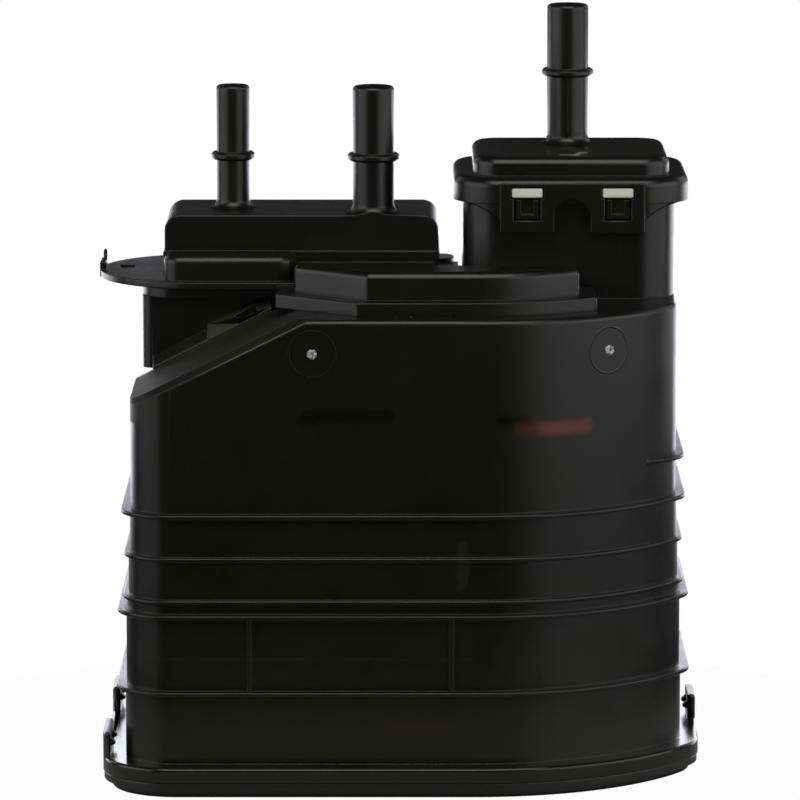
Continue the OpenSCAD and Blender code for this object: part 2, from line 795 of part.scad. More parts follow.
module top_cover() {
    tank_y = block_front + tank_od / 2 + tank_setback;
    color(plastic)
        difference() {
            union() {
                translate([0, 0, body_top]) linear_extrude(rim_t) rim_area();
                translate([0, 0, body_top]) linear_extrude(rim_t)
                    rounded_area(-tower_left, cover_right, tower_front - step_front, tower_back - rim_t,
                        2 * block_r);
                translate([0, 0, plate_z]) linear_extrude(plate_t)
                    difference() {
                        plate_area();
                        translate([ear_slot[0], ear_slot[1]]) square([ear_slot[2], ear_slot[3]]);
                    }
                ear_tip_tab();
                cover_dome();
                port_block();
                soft_block(-block_left, step_right, -step_front, block_front + 2 * block_r,
                    body_top + rim_t / 2, body_top + step_h, block_r, edge_r);
                translate([purge_at[0], purge_at[1], block_top]) {
                    spigot(purge_od, purge_bore, purge_neck_l, spigot_l, 0);
                    spigot_foot(purge_od, purge_bore);
                }
                translate([tank_x, tank_y, block_top]) spigot(tank_od, tank_bore, neck_l, spigot_l, edge_r);
                intersection() {
                    translate([tank_x, tank_y, block_top]) spigot_foot(tank_od, tank_bore);
                    translate([tank_x - far / 2, block_front, block_top - far / 2])
                        cube(far);
                }
            }
            translate([0, 0, body_top - eps]) linear_extrude(block_h - cover_wall + eps)
                rounded_area(-block_left + cover_wall, block_right - cover_wall, block_front + cover_wall,
                    block_back - cover_wall, edge_r);
            translate([0, 0, body_top - eps]) linear_extrude(rim_t + dome_h - dome_drop - cover_wall + eps) {
                roof_opening_area(0);
                rounded_area(facet_x + cover_wall, rim_bow_x + rim_bow_r / 3,
                    -rim_front + dome_inset + 4 * cover_wall, -turret_front - turret_gap - 2 * cover_wall,
                    edge_r);
            }
            translate([purge_at[0], purge_at[1], block_top - 2 * cover_wall])
                cylinder(d = purge_bore, h = far);
            translate([tank_x, tank_y, block_top - 2 * cover_wall]) cylinder(d = tank_bore, h = far);
        }
}

// The apron seen from the front, with two latch windows and an arch
module apron_profile() {
    low = cap_z - apron_drop;
    difference() {
        translate([-apron_w / 2, low]) square([apron_w, cap_ceiling - low]);
        for (side = [-1, 1])
            translate([side * window_pitch / 2 - window_w / 2, window_low])
                square([window_w, turret_top - window_low]);
        translate([0, low + arch_h - arch_w / 2]) circle(d = arch_w);
        translate([-arch_w / 2, low - eps]) square([arch_w, arch_h - arch_w / 2 + eps]);
    }
}

// The skirt beside the apron, which runs out along a shallow arc under the flange
module apron_wings() {
    inset = 0.5;
    r = (pow(wing_w, 2) + pow(wing_drop, 2)) / (2 * wing_drop);
    intersection() {
        translate([latch_mid, turret_r - turret_front, 0])
            rotate([90, 0, 0])
                linear_extrude(turret_r + 2 * cap_over)
                    for (side = [0, 1])
                        mirror([side, 0])
                            difference() {
                                translate([apron_w / 2 - wing_w, cap_z - wing_drop])
                                    square([2 * wing_w, wing_drop + eps]);
                                translate([apron_w / 2 + wing_w, cap_z - r]) circle(r);
                            }
        translate([0, 0, cap_z - wing_drop])
            linear_extrude(wing_drop + cap_grip)
                rounded_area(cap_left + inset, cap_right - inset, inset - cap_front, cap_back - inset,
                    turret_r + cap_over - inset);
    }
}

module vent_cap() {
    fit = 0.3;
    tab_room = 0.3;
    color(plastic)
        difference() {
            union() {
                soft_block(cap_left, cap_right, -cap_front, cap_back, cap_z, cap_top, turret_r + cap_over,
                    cap_lip_r);
                soft_block(cap_left + cap_inset, cap_right - cap_inset,
                    -cap_front + cap_inset, cap_back - cap_rear_inset,
                    cap_z + cap_flange_h / 2, cap_top + cap_dome_h, cap_dome_r, cap_edge_r);
                translate([latch_mid, -apron_front + apron_t, 0])
                    rotate([90, 0, 0]) linear_extrude(apron_t) apron_profile();
                apron_wings();
                translate([vent_at[0], vent_at[1], cap_top + cap_dome_h]) {
                    spigot(tank_od, tank_bore, vent_neck_l, vent_spigot_l, 0);
                    spigot_foot(tank_od, tank_bore);
                }
            }
            translate([0, 0, cap_z - wing_drop - eps])
                linear_extrude(cap_ceiling - cap_z + wing_drop + eps) turret_area(-fit);
            translate([0, 0, cap_z]) linear_extrude(cap_flange_h + cap_dome_h - cover_wall)
                rounded_area(cap_left + cap_inset + cover_wall, cap_right - cap_inset - cover_wall,
                    -cap_front + cap_inset + cover_wall, cap_back - cap_rear_inset - cover_wall,
                    cap_dome_r - cover_wall);
            for (side = [-1, 1])
                translate([latch_mid + side * window_pitch / 2, -apron_front - eps, 0]) {
                    translate([-tab_w / 2 - tab_room, 0, turret_top - eps])
                        cube([tab_w + 2 * tab_room, apron_front, frame_h + tab_room + eps]);
                    translate([-window_w / 2, 0, window_low])
                        cube([window_w, apron_front - turret_front + 2 * eps, turret_top - window_low]);
                }
            translate([vent_at[0], vent_at[1], cap_top]) cylinder(d = tank_bore, h = far);
        }
}

module vent_cap_seal() {
    seal_in = 0.3;
    seal_w = 3.2;
    color(rubber)
        translate([0, 0, seal_z])
            linear_extrude(seal_t)
                difference() {
                    turret_area(seal_in);
                    turret_area(seal_in + seal_w);
                }
}

// A white rim on the turret's edge; its two front tabs show in the latch windows
module filter_frame() {
    tab_back = 0.3;
    tab_reach = apron_front - turret_front - tab_back;
    color(white_plastic)
        translate([0, 0, frame_z])
            linear_extrude(frame_h) {
                difference() {
                    turret_area(0);
                    turret_area(frame_w);
                }
                for (side = [-1, 1])
                    translate([latch_mid + side * window_pitch / 2 - tab_w / 2, -turret_front - tab_reach])
                        square([tab_w, tab_reach + frame_w / 2]);
            }
}

module vent_filter() {
    color(foam)
        translate([0, 0, body_top])
            linear_extrude(turret_h) turret_area(wall + slide);
}

module bed(main, z, height, gap) {
    translate([0, 0, z]) linear_extrude(height) chamber_area(main, gap);
}

module perforated_plate(main, z, height) {
    margin = 5;
    bow_margin = 4 * margin;
    difference() {
        bed(main, z, height, slide);
        translate([0, 0, z])
            hole_pattern(main ? -body_left + inner_inset + margin : divider_x + margin,
                main ? divider_left - margin : body_right - inner_inset - 2 * margin,
                -body_front + inner_inset + (main ? margin : bow_margin), body_back - inner_inset - margin,
                height);
    }
}

module main_carbon_bed() {
    color(carbon) bed(true, bed_z, main_bed_h, slide);
}

module main_top_pad() {
    color(felt) bed(true, main_pad_z, main_pad_t, slide);
}

module main_top_grid() {
    color(plastic) perforated_plate(true, grid_z, grid_t);
}

module main_bottom_pad() {
    color(felt) bed(true, low_pad_z, low_pad_t, slide);
}

module main_plate() {
    color(plastic) perforated_plate(true, plate_low, plate_thick);
}

module vent_carbon_bed() {
    color(carbon) bed(false, bed_z, vent_pad_z - bed_z, slide);
}

module vent_top_pad() {
    color(felt) bed(false, vent_pad_z, vent_pad_t, slide);
}

module vent_bottom_pad() {
    color(felt) bed(false, low_pad_z, low_pad_t, slide);
}

module vent_plate() {
    color(plastic) perforated_plate(false, plate_low, plate_thick);
}

// A compression spring with a flat closed coil at each end, swept as one tube
module spring(place) {
    sides = 6;
    ring_steps = 14;
    turns = spring_turns + 2;
    rings = turns * ring_steps;
    wire_r = spring_wire / 2;
    coil_r = spring_od / 2 - wire_r;
    stacked = spring_wire * 1.06;
    rise = spring_h - spring_wire - 2 * stacked;
    function climb(t) =
        stacked * (min(t, 1) + max(t - turns + 1, 0)) + rise * min(1, max(0, (t - 1) / spring_turns));
    function ring(i) =
        let (t = i / ring_steps, a = 360 * t, z = wire_r + climb(t))
            [for (k = [0:sides - 1])
                let (b = 360 * (k + 0.5) / sides, r = coil_r + wire_r * cos(b))
                    [r * cos(a), r * sin(a), z + wire_r * sin(b)]];
    points = [for (i = [0:rings]) each ring(i)];
    walls = [for (i = [0:rings - 1], k = [0:sides - 1])
        let (a = i * sides + k, b = i * sides + (k + 1) % sides)
            [a, a + sides, b + sides, b]];
    ends = [[for (k = [0:sides - 1]) k], [for (k = [sides - 1:-1:0]) rings * sides + k]];
    color(spring_steel)
        translate([place[0], place[1], floor_z])
            polyhedron(points, concat(walls, ends));
}

housing();
base_cover();
top_cover();
vent_cap();
vent_cap_seal();
filter_frame();
vent_filter();
main_carbon_bed();
main_top_pad();
main_top_grid();
main_bottom_pad();
main_plate();
vent_carbon_bed();
vent_top_pad();
vent_bottom_pad();
vent_plate();
spring(spring_places[0]);  // main_spring_1
spring(spring_places[1]);  // main_spring_2
spring(spring_places[2]);  // main_spring_3
spring(spring_places[3]);  // main_spring_4
spring(spring_places[4]);  // vent_spring_1
spring(spring_places[5]);  // vent_spring_2
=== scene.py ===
import math

import bmesh
import bpy
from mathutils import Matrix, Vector, noise


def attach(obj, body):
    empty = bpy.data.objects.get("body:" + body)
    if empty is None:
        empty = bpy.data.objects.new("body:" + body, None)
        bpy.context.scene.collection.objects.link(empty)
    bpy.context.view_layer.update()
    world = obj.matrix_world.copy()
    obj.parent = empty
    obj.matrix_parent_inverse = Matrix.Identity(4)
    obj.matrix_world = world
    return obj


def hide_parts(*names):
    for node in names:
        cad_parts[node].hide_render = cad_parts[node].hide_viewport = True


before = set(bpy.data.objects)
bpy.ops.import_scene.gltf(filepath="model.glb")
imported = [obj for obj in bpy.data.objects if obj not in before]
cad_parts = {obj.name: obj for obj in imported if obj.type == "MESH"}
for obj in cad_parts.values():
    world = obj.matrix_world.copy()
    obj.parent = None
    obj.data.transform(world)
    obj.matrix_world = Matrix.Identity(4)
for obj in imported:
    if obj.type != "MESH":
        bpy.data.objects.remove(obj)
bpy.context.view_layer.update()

# Base cover
# A shallow tray in black glass-filled polyamide, moulded and then hot-plate welded under the
# housing flange. Its belly edge is rounded, and its surface is satin with a faint mould grain.
MM = 0.001  # sizes are in mm, and the scene is in metres


def linear(code):
    """A colour written as sRGB hex, as linear RGBA."""
    parts = [int(code[i:i + 2], 16) / 255 for i in (1, 3, 5)]
    return [c / 12.92 if c <= 0.04045 else ((c + 0.055) / 1.055) ** 2.4 for c in parts] + [1.0]


def add(tree, kind, inputs=None, **settings):
    """Adds a node with its settings; an input is a value or another node's output."""
    made = tree.nodes.new(kind)
    for key, value in settings.items():
        setattr(made, key, value)
    for key, value in (inputs or {}).items():
        if isinstance(value, bpy.types.NodeSocket):
            tree.links.new(value, made.inputs[key])
        else:
            made.inputs[key].default_value = value
    return made


def moulded_copy(node, name, rounding):
    """A joined copy of a CAD node, with its outer edges rounded where there is room;
    rounding(place) gives the width, all in mm."""
    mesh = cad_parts[node].data.copy()
    mesh.name = name
    shape = bmesh.new()
    shape.from_mesh(mesh)
    bmesh.ops.remove_doubles(shape, verts=shape.verts, dist=0.002 * MM)
    bmesh.ops.dissolve_limit(shape, angle_limit=math.radians(0.5), verts=shape.verts, edges=shape.edges)
    weight = shape.edges.layers.float.new("bevel_weight_edge")
    widest = 2.0
    sharp = [e for e in shape.edges if len(e.link_faces) == 2 and e.calc_face_angle(0) > math.radians(27)]
    width = {e: rounding((e.verts[0].co + e.verts[1].co) / 2 / MM) for e in sharp if e.is_convex}
    width = {e: w for e, w in width.items() if w > 0}
    # No edge takes more than its share of the faces and edges beside it
    for e in width:
        along = (e.verts[1].co - e.verts[0].co).normalized()
        reach = [max((v.co - e.verts[0].co).cross(along).length for v in f.verts) / MM for f in e.link_faces]
        beside = [o.calc_length() / MM for v in e.verts for o in v.link_edges if o not in width]
        width[e] = min([width[e]] + [room / 2.2 for room in reach + beside])
    for e in sharp:
        e[weight] = width.get(e, 0) / widest if width.get(e, 0) > 0.1 else 0
        e.smooth = e[weight] > 0
    for face in shape.faces:
        face.smooth = True
    shape.to_mesh(mesh)
    shape.free()
    piece = bpy.data.objects.new(name, mesh)
    bpy.context.scene.collection.objects.link(piece)
    bevel = piece.modifiers.new("rounded edges", "BEVEL")
    bevel.limit_method = "WEIGHT"
    bevel.width = widest * MM
    bevel.segments = 3
    bevel.use_clamp_overlap = False
    flat = piece.modifiers.new("flat faces stay flat", "WEIGHTED_NORMAL")
    flat.keep_sharp = True
    flat.weight = 60
    piece.data = bpy.data.meshes.new_from_object(piece.evaluated_get(bpy.context.evaluated_depsgraph_get()))
    piece.modifiers.clear()
    piece.data.materials.clear()
    return piece


def new_material(name):
    """An empty node material with its tree and the place on the object that its patterns read."""
    material = bpy.data.materials.new(name)
    material.use_nodes = True
    material.node_tree.nodes.clear()
    return material, material.node_tree, add(material.node_tree, "ShaderNodeTexCoord").outputs["Object"]


def black_polyamide(name):
    """Moulded glass-filled polyamide: a deep black that shines softly at a slant, with cloudy flow
    marks 40 mm long, mould grain drawn at 0.5 mm so that it shows, dust, and edges rubbed grey in patches
    that also paint in the edges' highlight lines."""
    material, tree, place = new_material(name)
    flow = add(tree, "ShaderNodeTexNoise", {"Vector": place, "Scale": 1 / (40 * MM), "Detail": 5})
    colour = add(tree, "ShaderNodeMix",
                 {"Factor": flow.outputs[0], "A": linear("#080806"), "B": linear("#0d0d09")},
                 data_type="RGBA").outputs["Result"]
    specks = add(tree, "ShaderNodeTexNoise", {"Vector": place, "Scale": 1 / (1.2 * MM), "Detail": 3})
    dust = add(tree, "ShaderNodeMapRange",
               {"Value": specks.outputs[0], "From Min": 0.68, "From Max": 0.84, "To Min": 0.0, "To Max": 0.3})
    colour = add(tree, "ShaderNodeMix", {"Factor": dust.outputs[0], "A": colour, "B": linear("#454540")},
                 data_type="RGBA").outputs["Result"]
    soft = add(tree, "ShaderNodeBevel", {"Radius": 0.35 * MM}, samples=4)
    true = add(tree, "ShaderNodeNewGeometry")
    turned = add(tree, "ShaderNodeVectorMath", {0: soft.outputs[0], 1: true.outputs["Normal"]},
                 operation="DOT_PRODUCT")
    edge = add(tree, "ShaderNodeMapRange",
               {"Value": turned.outputs["Value"], "From Min": 0.99, "From Max": 0.85,
                "To Min": 0, "To Max": 1})
    # Edges rubbed grey in patches, partly real wear and partly a painted highlight along the edges
    edge_speckle = add(tree, "ShaderNodeTexNoise", {"Vector": place, "Scale": 1 / (2.5 * MM), "Detail": 6,
                                              "Roughness": 0.7})
    edge_patches = add(tree, "ShaderNodeMapRange",
               {"Value": edge_speckle.outputs[0], "From Min": 0.45, "From Max": 0.75, "To Min": 0.0, "To Max": 0.5})
    wear_and_edge_highlight = add(tree, "ShaderNodeMath", {0: edge.outputs[0], 1: edge_patches.outputs[0]}, operation="MULTIPLY")
    colour = add(tree, "ShaderNodeMix", {"Factor": wear_and_edge_highlight.outputs[0], "A": colour, "B": linear("#5a5a55")},
                 data_type="RGBA").outputs["Result"]
    cloud = add(tree, "ShaderNodeTexNoise", {"Vector": place, "Scale": 1 / (14 * MM), "Detail": 6,
                                             "Roughness": 0.65})
    satin = add(tree, "ShaderNodeMapRange",
                {"Value": cloud.outputs[0], "From Min": 0.3, "From Max": 0.7, "To Min": 0.27, "To Max": 0.36})
    grain = add(tree, "ShaderNodeTexNoise", {"Vector": place, "Scale": 1 / (0.5 * MM), "Detail": 2})
    bump = add(tree, "ShaderNodeBump", {"Height": grain.outputs[0], "Strength": 0.06, "Distance": 0.1 * MM,
                                        "Normal": soft.outputs[0]})
    sink = add(tree, "ShaderNodeBump", {"Height": flow.outputs[0], "Strength": 0.1, "Distance": 0.3 * MM,
                                        "Normal": bump.outputs[0]})
    shader = add(tree, "ShaderNodeBsdfPrincipled", {"Base Color": colour, "Roughness": satin.outputs[0],
                                                    "Normal": sink.outputs[0], "IOR": 1.52})
    add(tree, "ShaderNodeOutputMaterial", {"Surface": shader.outputs[0]})
    return material, tree, place, colour, shader


def belly_edge(p):
    return 1.3 if p.z < 0.1 else 0.35


base = moulded_copy("base_cover", "base_moulding", belly_edge)
base.data.materials.append(black_polyamide("black polyamide, moulded satin, base")[0])
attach(base, "root")
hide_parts("base_cover")

# Springs
# Six compression springs of drawn steel wire stand on the base cover and press the plates up.
# Each is wound with a closed flat coil at both ends.
SPRING_PLACES = [(-54, -30), (-54, 30), (-4, -30), (-4, 30), (45, -16), (45, 28)]
SPRING_FLOOR = 2.3
WIRE_R = 0.8

# Bright wire with fine draw marks, so that each turn carries a broken glint
material, tree, place = new_material("spring steel, drawn wire")
draw = add(tree, "ShaderNodeTexNoise", {"Vector": place, "Scale": 1 / (0.8 * MM), "Detail": 4})
tone = add(tree, "ShaderNodeMix", {"Factor": draw.outputs[0], "A": linear("#8b8c90"), "B": linear("#b4b5b8")},
           data_type="RGBA").outputs["Result"]
polish = add(tree, "ShaderNodeMapRange", {"Value": draw.outputs[0], "To Min": 0.22, "To Max": 0.42})
steel = add(tree, "ShaderNodeBsdfPrincipled", {"Base Color": tone, "Roughness": polish.outputs[0],
                                               "Metallic": 1.0})
add(tree, "ShaderNodeOutputMaterial", {"Surface": steel.outputs[0]})


def made_by(tree, name, verts, edges, sizes):
    """The plain mesh that a node tree makes from points or lines, with the tree's inputs given by name."""
    mesh = bpy.data.meshes.new(name)
    mesh.from_pydata([Vector(v) * MM for v in verts], edges, [])
    piece = bpy.data.objects.new(name, mesh)
    bpy.context.scene.collection.objects.link(piece)
    modifier = piece.modifiers.new(name, "NODES")
    modifier.node_group = tree
    for socket in tree.interface.items_tree:
        if socket.name in sizes:
            modifier[socket.identifier] = sizes[socket.name]
    piece.data = bpy.data.meshes.new_from_object(piece.evaluated_get(bpy.context.evaluated_depsgraph_get()))
    piece.modifiers.clear()
    return piece


def new_tree(name, sizes):
    """An empty geometry tree with a material input and named float inputs, and its group input."""
    tree = bpy.data.node_groups.new(name, "GeometryNodeTree")
    tree.interface.new_socket("Geometry", in_out="INPUT", socket_type="NodeSocketGeometry")
    for label in sizes:
        tree.interface.new_socket(label, in_out="INPUT", socket_type="NodeSocketFloat")
    tree.interface.new_socket("Finish", in_out="INPUT", socket_type="NodeSocketMaterial")
    tree.interface.new_socket("Geometry", in_out="OUTPUT", socket_type="NodeSocketGeometry")
    return tree, add(tree, "NodeGroupInput").outputs


tree, given = new_tree("compression springs", ["Coil radius", "Wire radius", "Closed coil", "Rise", "Turns"])
coils = add(tree, "GeometryNodeJoinGeometry")
second = add(tree, "ShaderNodeMath", {0: given["Closed coil"], 1: given["Rise"]}, operation="ADD")
stages = [(1.0, given["Closed coil"], 0.0), (given["Turns"], given["Rise"], given["Closed coil"]),
          (1.0, given["Closed coil"], second.outputs[0])]
for turns, height, lift in stages:
    coil = add(tree, "GeometryNodeCurveSpiral", {"Resolution": 32, "Rotations": turns, "Height": height,
                                                 "Start Radius": given["Coil radius"],
                                                 "End Radius": given["Coil radius"], "Reverse": True})
    level = add(tree, "ShaderNodeCombineXYZ", {"Z": lift})
    raised = add(tree, "GeometryNodeTransform",
                 {"Geometry": coil.outputs[0], "Translation": level.outputs[0]})
    tree.links.new(raised.outputs[0], coils.inputs[0])
wire = add(tree, "GeometryNodeCurvePrimitiveCircle", {"Resolution": 10, "Radius": given["Wire radius"]})
spring = add(tree, "GeometryNodeCurveToMesh", {"Curve": coils.outputs[0], "Profile Curve": wire.outputs[0],
                                               "Fill Caps": True})
stood = add(tree, "GeometryNodeInstanceOnPoints",
            {"Points": given["Geometry"], "Instance": spring.outputs[0]})
real = add(tree, "GeometryNodeRealizeInstances", {"Geometry": stood.outputs[0]})
smooth = add(tree, "GeometryNodeSetShadeSmooth", {"Geometry": real.outputs[0]})
dressed = add(tree, "GeometryNodeSetMaterial", {"Geometry": smooth.outputs[0], "Material": given["Finish"]})
add(tree, "NodeGroupOutput", {0: dressed.outputs[0]})
springs = made_by(tree, "springs", [(x, y, SPRING_FLOOR + WIRE_R) for x, y in SPRING_PLACES], [], {
    "Coil radius": 6.7 * MM, "Wire radius": WIRE_R * MM, "Closed coil": 1.7 * MM, "Rise": 14.7 * MM,
    "Turns": 3.0, "Finish": material})
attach(springs, "root")
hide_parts("main_spring_1", "main_spring_2", "main_spring_3", "main_spring_4", "vent_spring_1",
            "vent_spring_2")

# Plates and grid
# Perforated pressure plates under both beds and a grid over the main one, plain black mouldings
# that only vapour meets.


def dress(node, material):
    """Gives a CAD piece its material."""
    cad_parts[node].data.materials.clear()
    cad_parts[node].data.materials.append(material)


for node in ("main_plate", "vent_plate", "main_top_grid"):
    dress(node, black_polyamide("black polyamide, moulded satin, " + node)[0])

# Felt pads
# Pads of pressed polyester felt, cut to the chambers, that keep carbon dust in the beds.
# Pale, matted and without shine, so that the pads read as cloth
material, tree, place = new_material("polyester felt, pressed")
mat = add(tree, "ShaderNodeTexNoise", {"Vector": place, "Scale": 1 / (1.5 * MM), "Detail": 8,
                                       "Distortion": 2.5})
tone = add(tree, "ShaderNodeMix", {"Factor": mat.outputs[0], "A": linear("#b9b3a4"), "B": linear("#dcd8cc")},
           data_type="RGBA").outputs["Result"]
lie = add(tree, "ShaderNodeBump", {"Height": mat.outputs[0], "Strength": 0.6, "Distance": 0.5 * MM})
felt = add(tree, "ShaderNodeBsdfPrincipled", {"Base Color": tone, "Roughness": 0.95,
                                              "Normal": lie.outputs[0]})
add(tree, "ShaderNodeOutputMaterial", {"Surface": felt.outputs[0]})
for node in ("main_top_pad", "main_bottom_pad", "vent_top_pad", "vent_bottom_pad"):
    dress(node, material)

# Carbon beds
# Activated carbon in 2 mm pellets, packed tight in both chambers.
# Dull black grains, with painted shade darkening the gaps between them
material, tree, place = new_material("activated carbon, packed pellets")
pellet = add(tree, "ShaderNodeTexVoronoi", {"Vector": place, "Scale": 1 / (2 * MM)})
# Darker away from each pellet's middle: painted shade between the pellets
tone = add(tree, "ShaderNodeMix",
           {"Factor": pellet.outputs["Distance"], "A": linear("#262625"), "B": linear("#060606")},
           data_type="RGBA").outputs["Result"]
heap = add(tree, "ShaderNodeBump",
           {"Height": pellet.outputs["Distance"], "Strength": 1.0, "Distance": 1.0 * MM}, invert=True)
carbon = add(tree, "ShaderNodeBsdfPrincipled", {"Base Color": tone, "Roughness": 0.7,
                                                "Normal": heap.outputs[0]})
add(tree, "ShaderNodeOutputMaterial", {"Surface": carbon.outputs[0]})
for node in ("main_carbon_bed", "vent_carbon_bed"):
    dress(node, material)

# Housing
# The body of the canister, one moulding in black glass-filled polyamide with wrapped ribs, a slope
# at the left for the ear and a turret at the right. Paint strokes from assembly mark its front.
PARTING, FLANGE_TOP, LUG_REACH, ROOF = 4.6, 8.9, 24, 134
BOW = Vector((21.5, 14))
BOW_R = 64.25
FRONT = -50.25
SLOPE_X, SLOPE_ANGLE = -25, math.radians(26.7)


def patch(tree, place, low, high, soft, ragged):
    """A mask that is 1 inside a box of the object, with soft ragged edges and round corners, in mm."""
    wobble = add(tree, "ShaderNodeTexNoise", {"Vector": place, "Scale": 1 / (3 * MM), "Detail": 4})
    shift = add(tree, "ShaderNodeVectorMath", {0: wobble.outputs["Color"], 1: (0.5, 0.5, 0.5)},
                operation="SUBTRACT")
    moved = add(tree, "ShaderNodeVectorMath", {0: shift.outputs[0], 1: [2 * ragged * MM] * 3, 2: place},
                operation="MULTIPLY_ADD")
    middle = [(a + b) / 2 * MM for a, b in zip(low, high)]
    centred = add(tree, "ShaderNodeVectorMath", {0: moved.outputs[0], 1: middle}, operation="SUBTRACT")
    size = add(tree, "ShaderNodeVectorMath", {0: centred.outputs[0]}, operation="ABSOLUTE")
    half = [((b - a) / 2 - soft) * MM for a, b in zip(low, high)]
    past = add(tree, "ShaderNodeVectorMath", {0: size.outputs[0], 1: half}, operation="SUBTRACT")
    outer = add(tree, "ShaderNodeVectorMath", {0: past.outputs[0], 1: (0, 0, 0)}, operation="MAXIMUM")
    far = add(tree, "ShaderNodeVectorMath", {0: outer.outputs[0]}, operation="LENGTH")
    inside = add(tree, "ShaderNodeMapRange",
                 {"Value": far.outputs["Value"], "From Min": soft * MM, "From Max": 0,
                  "To Min": 0, "To Max": 1})
    return inside.outputs[0]


def paint(tree, colour, mask, amount, code):
    """Lays a colour over another where a mask says, by an amount."""
    share = add(tree, "ShaderNodeMath", {0: mask, 1: amount}, operation="MULTIPLY")
    return add(tree, "ShaderNodeMix", {"Factor": share.outputs[0], "A": colour, "B": linear(code)},
               data_type="RGBA").outputs["Result"]


def housing_edges(p):
    from_bow = (p.xy - BOW).length
    over_slope = p.z - ROOF - (p.x - SLOPE_X) * math.tan(SLOPE_ANGLE)
    # The parting face, then the flange
    if p.z < PARTING + 0.1:
        return 0.3
    if p.z < FLANGE_TOP + 0.1:
        return 0.9
    # The slope's front rim and its left one, but not the corner between them
    if p.x < SLOPE_X and abs(over_slope) < 2.5 and p.y < -4:
        return 1.5 if p.y < -49 and p.x > -58 else 1.2 if p.x < -71 and p.y > -34 else 0.0
    # The rail at the foot of the tower
    if p.x < -35 and -4 < p.y < 1 and p.z > 100:
        return 0.4
    # The roof's front edge
    if p.z > ROOF - 0.1:
        rim = p.y < -9 and (from_bow > 60 or p.x < 22 and p.y < -45)
        return 1.6 if rim and p.z < ROOF + 0.1 else 0.0
    # The lugs, then the ribs and walls
    if p.z < LUG_REACH and abs(p.x) > 78:
        return 0.9
    outside = p.x < -70 or p.x > 74 or p.y < -46 or p.y > 46 or from_bow > 62
    return 0.4 if outside else 0.0


housing = moulded_copy("housing", "housing_moulding", housing_edges)
material, tree, place, colour, shader = black_polyamide("black polyamide, moulded satin, housing")
# The flange was pressed smooth in welding, and the slope is left matt from the mould
sheen = shader.inputs["Roughness"].links[0].from_socket
pressed = patch(tree, place, (-90, -60, PARTING), (90, 60, FLANGE_TOP + 0.2), 0.1, 0.0)
sheen = add(tree, "ShaderNodeMath", {0: pressed, 1: -0.14, 2: sheen}, operation="MULTIPLY_ADD")
matt = patch(tree, place, (-80, -49.5, 104), (-22, -3, 135.5), 0.4, 0.0)
sheen = add(tree, "ShaderNodeMath", {0: matt, 1: 0.24, 2: sheen.outputs[0]}, operation="MULTIPLY_ADD")
tree.links.new(sheen.outputs[0], shader.inputs["Roughness"])
strokes = 0.0
# Dark strokes without shine: low and high corner, softness and raggedness in mm, amount and colour
for low, high, soft, ragged, amount, code in [
    ((-27, -60, 105.2), (-0.5, -45, 109.4), 1.6, 0.8, 0.95, "#0a0503"),
    ((-28.5, -60, 103.5), (-21, -45, 108.3), 1.8, 0.8, 0.9, "#0a0503"),
    ((26.5, -60, 103.4), (38, -30, 107.8), 1.8, 0.8, 0.9, "#050202"),
    ((-30, -60, 45.2), (13, -45, 48.0), 1.0, 1.4, 0.2, "#030303"),
]:
    mask = patch(tree, place, low, high, soft, ragged)
    colour = paint(tree, colour, mask, amount, code)
    added = add(tree, "ShaderNodeMath", {0: mask, 1: amount, 2: strokes}, operation="MULTIPLY_ADD")
    strokes = added.outputs[0]
dull = add(tree, "ShaderNodeMapRange", {"Value": strokes, "To Min": 0.5, "To Max": 0.26})
tree.links.new(dull.outputs[0], shader.inputs["Specular IOR Level"])
# Red strokes, a painted highlight along a low ridge, painted light on the flange top, a rubbed line, and
# painted light on the slope, in the same order
for low, high, soft, ragged, amount, code in [
    ((31.5, -60, 100.6), (54.8, -30, 106.6), 2.0, 0.6, 0.85, "#3c150c"),
    ((38, -60, 100.2), (55.0, -30, 106.0), 2.6, 0.6, 0.75, "#66301f"),
    ((-5, -60, 18.6), (15, -45, 21.0), 1.0, 1.2, 0.6, "#200807"),
    # A faint paler line across the front: the painted highlight of a low ridge
    ((-72, -60, 38.2), (21, -45, 39.2), 1.0, 0.4, 0.10, "#55554f"),
    # A paler band along the flange top and the body's foot: painted light over the shade where they meet
    ((-88, -60, FLANGE_TOP - 0.3), (88, 60, FLANGE_TOP + 0.5), 1.0, 0.2, 0.8, "#2c2a28"),
    ((16, -60, 58), (20, -45, 72), 1.0, 2.0, 0.12, "#4a4a46"),
    # The slope painted paler: painted light where it faces the lamps above
    ((-80, -49.5, 104), (-22, -3, 135.5), 0.4, 0.0, 0.5, "#1c1c19"),
]:
    colour = paint(tree, colour, patch(tree, place, low, high, soft, ragged), amount, code)
tree.links.new(colour, shader.inputs["Base Color"])
housing.data.materials.append(material)
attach(housing, "root")
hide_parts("housing")

# Gate scars
# Two spots on the front where the plastic entered the mould: a thin raised ring round each, and a
# nub in the middle where the runner was broken off, white from the stress.
FLAT_X, FLAT_Z = -23.9, 124.5
BOWED_X, BOWED_Z = 58.9, 124.0


def flat_front(s, t, out):
    return Vector((FLAT_X + s, FRONT - out, FLAT_Z + t)) * MM


def bowed_front(s, t, out):
    turn = math.asin((BOWED_X - BOW.x) / BOW_R) + s / BOW_R
    r = BOW_R + out
    return Vector((BOW.x + r * math.sin(turn), BOW.y - r * math.cos(turn), BOWED_Z + t)) * MM


